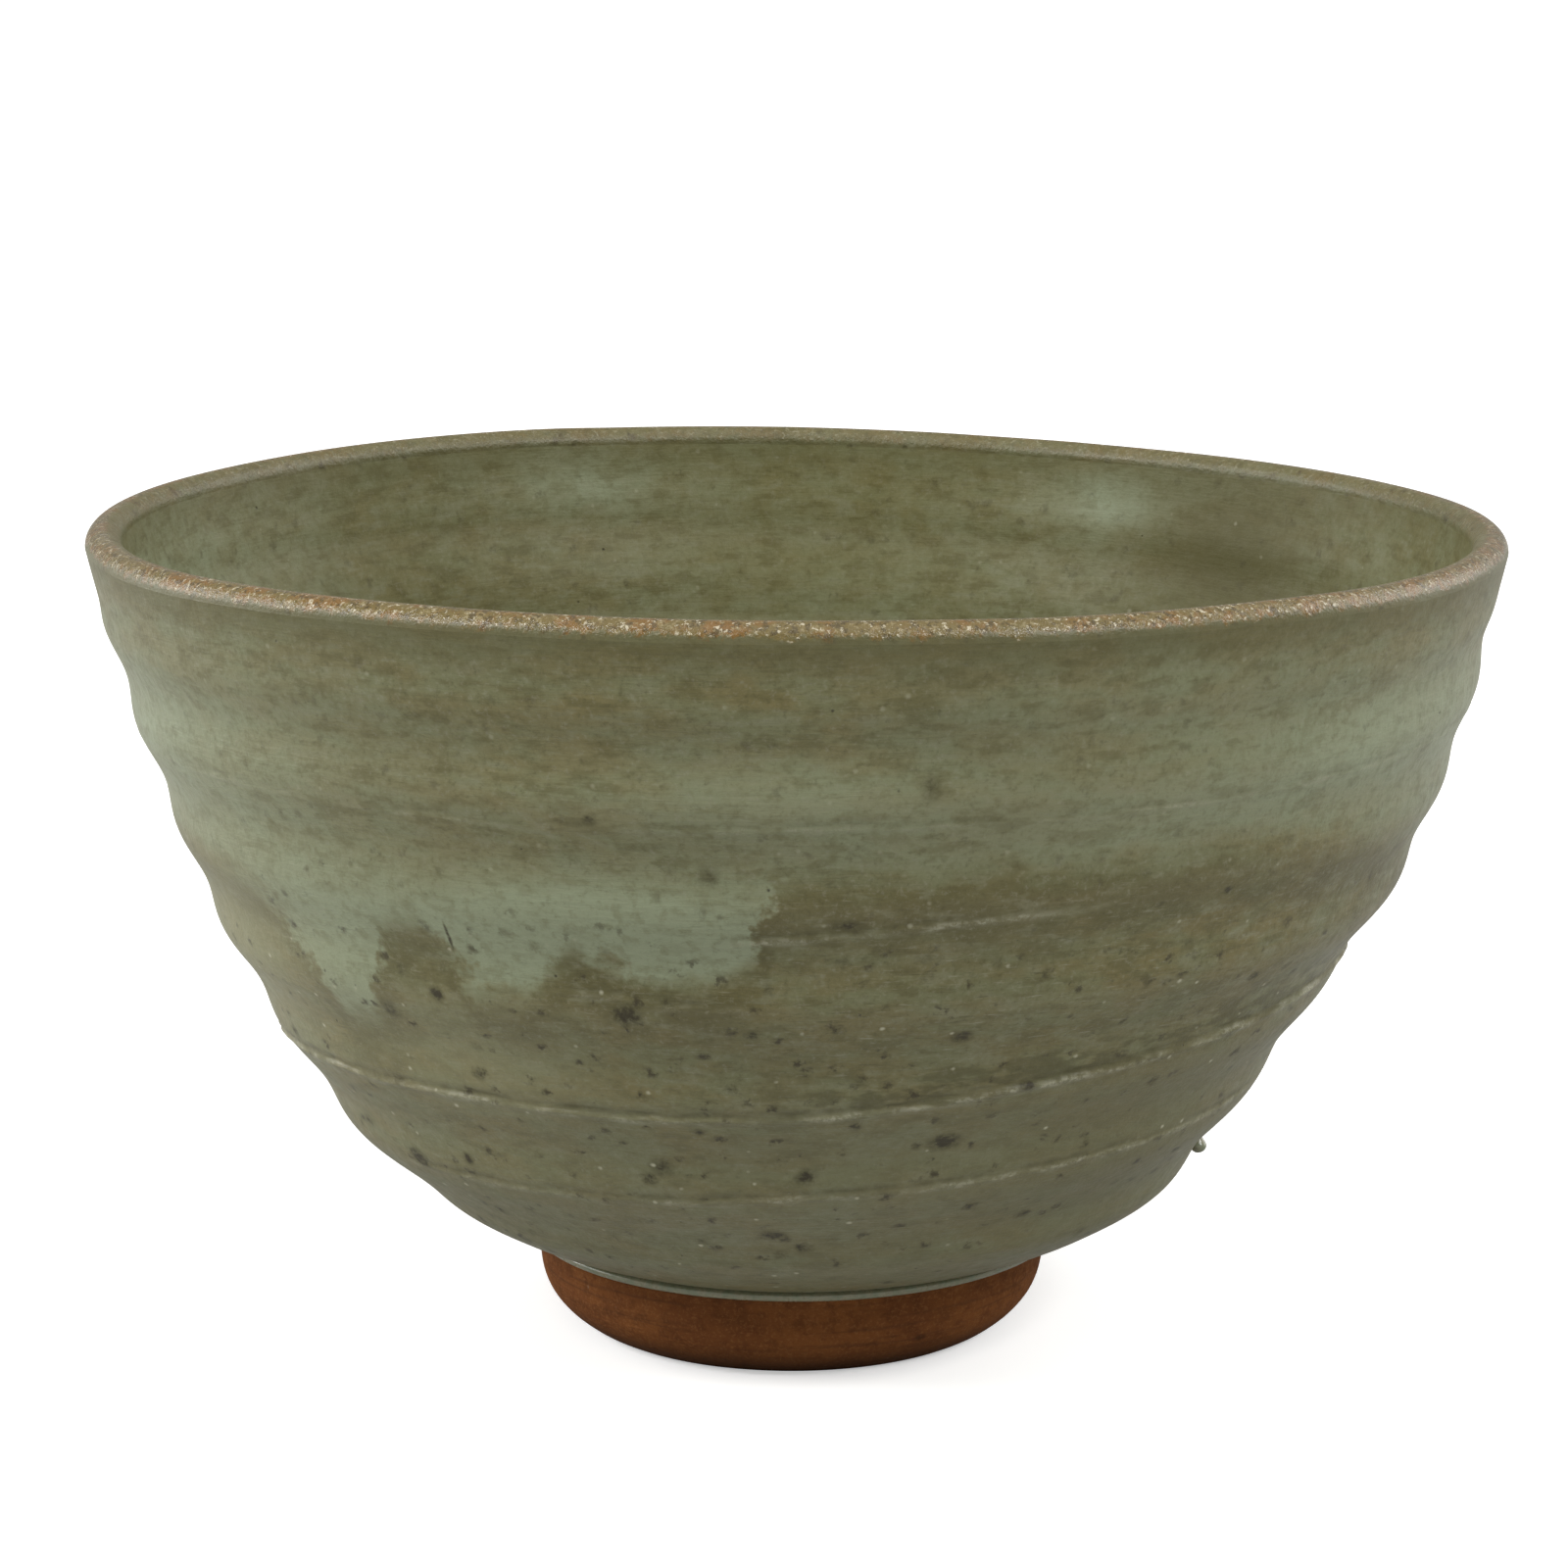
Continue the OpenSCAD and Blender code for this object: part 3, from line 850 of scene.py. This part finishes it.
    def lay_lip(self):
        """Towards the lip an olive-brown shade, then the ragged tan edge with painted glints. Returns where
        clay shows.
        """
        net, c, fine = self.net, self.colours, self.fine
        reach = net.add(attribute(net, "reach"), net.swing(fine, 0.8))
        outward = net.step(reach, RIM_RADIUS - 2.4, RIM_RADIUS - 1.7)
        ragged = net.add(self.height, net.swing(self.mottle, 1.7), net.swing(fine, 1.1))
        self.lay(c.shade, net.step(ragged, BOWL_HEIGHT - 5.5, BOWL_HEIGHT - 1.6),
                 net.add(0.32, net.mul(outward, 0.28)), light=1.05)
        bare = net.mul(net.step(ragged, BOWL_HEIGHT - 1.25, BOWL_HEIGHT - 0.75),
                       net.add(0.25, net.mul(outward, 0.75)))
        edge = Layers(net, LIP_BROWN)
        edge.lay(c.lip, net.step(net.noise(self.vector, 0.35, 3.0, 0.65), 0.42, 0.62))
        edge.lay(LIP_BURNT, net.step(net.noise(self.vector, 1.5, 3.0, 0.7), 0.50, 0.62), 0.8)
        edge.lay(LIP_TAN, net.step(fine, 0.47, 0.34), 0.7)
        # Painted glints: pale sandy specks that stand in for sparkles of light on the lip
        edge.lay(LIP_PAINTED_GLINTS, net.step(self.grit, 0.58, 0.66), 0.8)
        self.lay(edge.colour, bare, net.step(self.broad, 0.30, 0.50, 0.7, 1.0))
        return bare


def glaze_material(context, side):
    """The ash glaze. side is outside, inside or lip: all three share the rim, so that no seam shows."""
    finish = GLAZE_SIDES[side]
    material, net, shader = new_material("Ash glaze, " + side)
    shader.inputs["IOR"].default_value = 1.5
    shader.inputs["Specular IOR Level"].default_value = finish["specular"]
    shader.inputs["Coat Weight"].default_value = finish["coat"]
    shader.inputs["Coat Roughness"].default_value = 0.25
    glaze = Glaze(net, context.scene.bowl_colours, side)
    glaze.lay_body()
    if side == "outside":
        glaze.lay_scores()
    stain = glaze.lay_specks()
    bare = glaze.lay_lip()
    roughness = net.add(finish["roughness"], net.swing(glaze.mottle, 0.22), net.mul(glaze.thick, -0.04),
                        net.mul(bare, -0.30), net.mul(stain, 0.06))
    # The relief holds plain noises only, because all that feeds it is worked out three times over
    relief = finish["relief"]
    at_lip = net.step(glaze.height, BOWL_HEIGHT - 1.6, BOWL_HEIGHT - 0.9)
    heights = [
        (glaze.streak, 0.06 * relief), (glaze.smear, 0.05 * relief), (glaze.thread, 0.045 * relief),
        (glaze.mottle, 0.05), (glaze.pin, -0.07),
        (net.mul(glaze.grit, net.add(net.mul(at_lip, 1.9), 0.35)), 0.07),
        (net.mul(glaze.scored, glaze.fine), 0.12),
    ]
    finish_material(net, shader, glaze.colour, roughness, heights)
    return material


def clay_material(context):
    """Bare stoneware: reddish, turned with a tool, and darker towards the edge it stands on, where shade is
    painted.
    """
    name = "Bare stoneware"
    if name in bpy.data.materials:
        return bpy.data.materials[name]
    c = context.scene.bowl_colours
    material, net, shader = new_material(name)
    shader.inputs["Specular IOR Level"].default_value = 0.03
    vector, _, _, height = place(net)
    patch = net.noise(vector, 0.16, 3.0, 0.6)
    mottle = net.noise(vector, 0.8, 4.0, 0.65)
    fine = net.noise(vector, 3.5, 3.0, 0.65)
    turned = use(net, streaks_group(), vector, 12.0, 0.5)[0]
    line = use(net, streaks_group(), vector, 9.0, 0.2)[0]
    clay = Layers(net, c.clay)
    clay.lay(CLAY_ORANGE, net.step(patch, 0.35, 0.65))
    clay.lay(CLAY_BROWN, net.step(mottle, 0.45, 0.65), 0.5)
    clay.lay(CLAY_SAND, net.step(fine, 0.50, 0.34), 0.45)
    clay.lay(c.dark_clay_and_shade, net.step(turned, 0.55, 0.72), 0.35)
    # Painted shade: darker towards the edge the foot stands on
    clay.lay(c.dark_clay_and_shade, net.step(net.add(height, net.swing(mottle, 2.4)), 3.4, 0.2), 0.8)
    drawn = net.vector("MULTIPLY", vector, (0.6, 0.6, 1.0))
    dark = use(net, specks_group(), drawn, 3.2, 0.3, 0.4, 0.30)[0]
    pale = use(net, specks_group(), vector, 2.6, 0.12, 0.15, 0.18)[0]
    clay.lay(CLAY_IRON, dark, 0.7)
    clay.lay(CLAY_GRAIN, pale, 0.45)
    roughness = net.add(0.78, net.swing(mottle, 0.18))
    heights = [(turned, 0.14), (line, 0.07), (mottle, 0.08), (fine, 0.05), (dark, -0.1)]
    finish_material(net, shader, clay.colour, roughness, heights)
    return material


def bead_material(context, name, light):
    """Glaze where it gathers in a bead: paler and smoother than on the wall."""
    c = context.scene.bowl_colours
    material, net, shader = new_material(name)
    shader.inputs["Coat Weight"].default_value = 0.35
    shader.inputs["Coat Roughness"].default_value = 0.15
    vector = place(net)[0]
    mottle = net.noise(vector, 0.9, 3.0, 0.6)
    fine = net.noise(vector, 3.2, 2.0, 0.6)
    speck = use(net, specks_group(), vector, 2.4, 0.12, 0.15, 0.2)[0]
    bead = Layers(net, BEAD_PALE, light)
    bead.lay(c.milky, net.step(mottle, 0.35, 0.65), light=0.8 * light)
    bead.lay(c.shade, net.step(fine, 0.45, 0.7), 0.35, light=1.4)
    bead.lay(c.iron, speck, 0.7)
    roughness = net.add(0.30, net.swing(mottle, 0.2))
    finish_material(net, shader, bead.colour, roughness, [(mottle, 0.08), (fine, 0.03)])
    return material


def floor_material(context):
    """The studio floor: pale to look at, and dimmer in the light it throws back up."""
    material, net, shader = new_material("Pale floor")
    c = context.scene.bowl_colours
    where = object_space(net)
    pale = net.mix(net.mul(net.noise(where, 3.0, 2.0), 0.04), rgba(c.floor), rgba(c.floor, 0.9))
    net.tree.links.new(pale, shader.inputs["Base Color"])
    shader.inputs["Roughness"].default_value = 0.9
    # The lamps don't reach the far floor, so it is helped a little, and stays as pale as the near one
    far = net.step(net.vector("LENGTH", where), 0.25, 2.2)
    glow = net.mix(far, (1.0, 1.0, 1.0, 1), (1.75, 1.75, 1.74, 1))
    net.tree.links.new(glow, shader.inputs["Emission Color"])
    shader.inputs["Emission Strength"].default_value = 0.45
    dim = net.put("ShaderNodeBsdfDiffuse", rgba(c.floor, 0.62))
    seen = net.put("ShaderNodeLightPath", pick=None).outputs["Is Camera Ray"]
    both = net.put("ShaderNodeMixShader", seen, dim, shader.outputs[0])
    net.tree.links.new(both, material.node_tree.nodes["Material Output"].inputs["Surface"])
    return material


# --------------------------------------------------------------------------- pieces

class BOWL_OT_outer_glaze(bpy.types.Operator):
    """Coats the outside with ash glaze, over the finger rings and the scored lines"""

    bl_idname = "bowl.outer_glaze"
    bl_label = "Outer glaze"

    def execute(self, context):
        outline = coat_outline(UP, wall_gap, 2.4)
        turn_piece(context, "outer_glaze_coat", "outer_glaze", outline,
                   glaze_material(context, "outside"), score_share=1.0)
        return {"FINISHED"}


class BOWL_OT_inner_glaze(bpy.types.Operator):
    """Coats the inside with ash glaze, down to the tea pool"""

    bl_idname = "bowl.inner_glaze"
    bl_label = "Inner glaze"

    def execute(self, context):
        face = spaced(DOWN, 0.32)
        back = under(spaced(DOWN, 3.0))
        turn_piece(context, "inner_glaze_coat", "inner_glaze", back[:1] + face,
                   glaze_material(context, "inside"), ring_share=0.6)
        return {"FINISHED"}


class BOWL_OT_lip_glaze(bpy.types.Operator):
    """Puts the thin iron-brown coat over the rim"""

    bl_idname = "bowl.lip_glaze"
    bl_label = "Lip glaze"

    def execute(self, context):
        outline = coat_outline(LIP, 0.12, 0.9)
        turn_piece(context, "lip_glaze_band", "lip_glaze", outline,
                   glaze_material(context, "lip"), segments=432)
        return {"FINISHED"}


class BOWL_OT_clay(bpy.types.Operator):
    """Throws the clay wall and floor, with the hollow trimmed under the floor"""

    bl_idname = "bowl.clay"
    bl_label = "Clay bowl"

    def execute(self, context):
        wall = under(spaced(UP, 1.6)) + under(spaced(LIP, 0.9))[1:] + under(spaced(DOWN, 2.4))[1:]
        hollow = []
        for a in range(0, 181, 20):
            hollow.append((RECESS_RADIUS * 0.4 * a / 180,
                           RECESS_DEPTH - NUB_HEIGHT * (1 + math.cos(math.radians(a))) / 2))
        hollow += spaced([(RECESS_RADIUS * 0.42, RECESS_DEPTH), (RECESS_RADIUS, RECESS_DEPTH)], 0.6)
        joint = [(RECESS_RADIUS, FOOT_HEIGHT), (FOOT_RADIUS, FOOT_HEIGHT)]
        turn_piece(context, "thrown_clay", "clay_bowl", hollow + joint + wall,
                   clay_material(context), segments=256, ring_share=0.8)
        return {"FINISHED"}


class BOWL_OT_foot_ring(bpy.types.Operator):
    """Turns the foot ring, with its bevelled lower edge"""

    bl_idname = "bowl.foot_ring"
    bl_label = "Foot ring"

    def execute(self, context):
        inside = [(RECESS_RADIUS, 1.2), (RECESS_RADIUS, FOOT_HEIGHT)]
        top = [(RECESS_RADIUS, FOOT_HEIGHT), (FOOT_RADIUS, FOOT_HEIGHT)]
        ring = (spaced(smooth(FOOT_SIDE, 6), 0.3) + spaced(smooth(STAND_EDGE, 5), 0.3)[1:]
                + spaced(inside, 0.6)[1:] + spaced(top, 2.0)[1:])
        turn_piece(context, "turned_foot", "foot_ring", ring[::-1], clay_material(context))
        return {"FINISHED"}


class BOWL_OT_glaze_roll(bpy.types.Operator):
    """Lays the bead in which the outer glaze stops above the foot"""

    bl_idname = "bowl.glaze_roll"
    bl_label = "Glaze roll"

    def execute(self, context):
        start = UP[0]
        clay = under(UP[:2])[0]
        bead = [start, (start[0] + 0.3, start[1] - 0.3), (start[0] + 0.1, start[1] - 0.75),
                (FOOT_RADIUS + 0.35, FOOT_HEIGHT - 0.85), (FOOT_RADIUS - 0.02, FOOT_HEIGHT - 0.7)]
        outline = [(FOOT_RADIUS, FOOT_HEIGHT), *smooth(bead, 5)[::-1], clay, (FOOT_RADIUS, FOOT_HEIGHT)]
        turn_piece(context, "glaze_roll_bead", "glaze_roll", outline,
                   bead_material(context, "Ash glaze, bead", 1.0))
        return {"FINISHED"}


class BOWL_OT_glaze_tear(bpy.types.Operator):
    """Leaves the one drop of glaze that froze on the lower wall"""

    bl_idname = "bowl.glaze_tear"
    bl_label = "Glaze tear"

    def execute(self, context):
        drop = bmesh.new()
        bmesh.ops.create_icosphere(drop, subdivisions=5, radius=DROP_RADIUS * MM)
        coat = bpy.data.objects["outer_glaze_coat"]
        found, wall, normal, _ = coat.closest_point_on_mesh((TEAR_LOW + TEAR_HIGH) / 2)
        if not found:
            raise RuntimeError("the glaze drop has no wall to hang on")
        for vertex in drop.verts:
            p = vertex.co
            p *= 1 + DROP_LUMPS * noise.noise(p / MM)
            tail = DROP_TAIL * max(0.0, p.z / MM)
            p = Vector((p.x * (1 - tail), p.y * (1 - tail), p.z * (1 + tail)))
            vertex.co = wall + normal * DROP_OFF * MM + p
        bmesh.ops.recalc_face_normals(drop, faces=drop.faces)
        mesh = bpy.data.meshes.new("glaze_drop")
        drop.to_mesh(mesh)
        drop.free()
        mesh.shade_smooth()
        mesh.materials.append(bead_material(context, "Ash glaze, drop", 0.9))
        piece = bpy.data.objects.new("glaze_drop", mesh)
        context.scene.collection.objects.link(piece)
        settle(piece, "glaze_tear")
        return {"FINISHED"}


# --------------------------------------------------------------------------- the stage

CAMERA_AWAY = 0.420
CAMERA_HEIGHT = 0.13497
CAMERA_SIDE = -0.00104
CAMERA_PITCH = math.radians(11.66)
CAMERA_LENS = 111.53

# Soft boxes: name, degrees round from the front, degrees up, distance, width, height, power
LIGHTS = [
    ("left_box", -62.0, 36.0, 1.1, 0.34, 0.34, 7.4),
    ("right_box", 48.0, 38.0, 1.1, 0.32, 0.32, 6.4),
    ("back_left_panel", -106.0, 10.0, 1.2, 0.9, 0.9, 11.0),
    ("back_right_panel", 118.0, 22.0, 1.2, 0.9, 0.9, 6.8),
    ("top_sheet", 0.0, 84.0, 1.3, 1.1, 1.1, 5.1),
]
AIM = Vector((0, 0, 0.04))
FLOOR_HALF = 6.0


class BOWL_OT_stage(bpy.types.Operator):
    """Sets the pale floor, the soft boxes and the camera"""

    bl_idname = "bowl.stage"
    bl_label = "Stage"

    def execute(self, context):
        scene = context.scene
        mesh = bpy.data.meshes.new("studio_floor")
        half = FLOOR_HALF
        corners = [(-half, -half, 0), (half, -half, 0), (half, half, 0), (-half, half, 0)]
        mesh.from_pydata(corners, [], [(0, 1, 2, 3)])
        mesh.materials.append(floor_material(context))
        floor = bpy.data.objects.new("studio_floor", mesh)
        scene.collection.objects.link(floor)
        for name, turn, rise, away, width, depth, power in LIGHTS:
            data = bpy.data.lights.new(name, "AREA")
            data.shape = "RECTANGLE"
            data.size, data.size_y, data.energy = width, depth, power
            light = bpy.data.objects.new(name, data)
            turn, rise = math.radians(turn), math.radians(rise)
            light.location = AIM + away * Vector((math.sin(turn) * math.cos(rise),
                                                  -math.cos(turn) * math.cos(rise), math.sin(rise)))
            light.rotation_euler = (AIM - light.location).to_track_quat("-Z", "Y").to_euler()
            scene.collection.objects.link(light)
        world = bpy.data.worlds.new("Pale studio")
        world.use_nodes = True
        net = Net(world.node_tree)
        room = world.node_tree.nodes["Background"]
        room.inputs["Color"].default_value = (1.0, 0.99, 0.97, 1)
        room.inputs["Strength"].default_value = 0.36
        backdrop = net.put("ShaderNodeBackground", (1, 1, 1, 1), 1.0)
        seen = net.put("ShaderNodeLightPath", pick=None).outputs["Is Camera Ray"]
        both = net.put("ShaderNodeMixShader", seen, room.outputs[0], backdrop)
        world.node_tree.links.new(both, world.node_tree.nodes["World Output"].inputs["Surface"])
        scene.world = world
        camera = bpy.data.cameras.new("camera")
        camera.lens = CAMERA_LENS
        camera.sensor_width = 36.0
        camera.clip_start, camera.clip_end = 0.01, 30.0
        eye = bpy.data.objects.new("camera", camera)
        eye.location = (CAMERA_SIDE, -CAMERA_AWAY, CAMERA_HEIGHT)
        eye.rotation_euler = (math.pi / 2 - CAMERA_PITCH, 0, 0)
        scene.collection.objects.link(eye)
        scene.camera = eye
        scene.view_settings.view_transform = "Standard"
        return {"FINISHED"}


class BOWL_PT_panel(bpy.types.Panel):
    """Lists the steps of making the bowl, and its sizes and colours"""

    bl_label = "Matcha bowl"
    bl_idname = "BOWL_PT_panel"
    bl_space_type = "VIEW_3D"
    bl_region_type = "UI"
    bl_category = "Matcha bowl"

    def draw(self, context):
        column = self.layout.column()
        for operator in STEPS:
            column.operator(operator.bl_idname)
        for group in (context.scene.bowl_sizes, context.scene.bowl_colours):
            box = self.layout.box()
            for name in group.__annotations__:
                box.prop(group, name)


STEPS = [
    BOWL_OT_clay, BOWL_OT_foot_ring, BOWL_OT_outer_glaze, BOWL_OT_inner_glaze, BOWL_OT_lip_glaze,
    BOWL_OT_glaze_roll, BOWL_OT_glaze_tear, BOWL_OT_stage,
]
CLASSES = [BowlSizes, BowlColours, *STEPS, BOWL_PT_panel]


def register():
    for cls in CLASSES:
        bpy.utils.register_class(cls)
    bpy.types.Scene.bowl_sizes = bpy.props.PointerProperty(type=BowlSizes)
    bpy.types.Scene.bowl_colours = bpy.props.PointerProperty(type=BowlColours)


def unregister():
    del bpy.types.Scene.bowl_colours
    del bpy.types.Scene.bowl_sizes
    for cls in reversed(CLASSES):
        bpy.utils.unregister_class(cls)


def main():
    register()
    for step in STEPS:
        family, name = step.bl_idname.split(".")
        getattr(getattr(bpy.ops, family), name)()


if __name__ == "__main__":
    main()
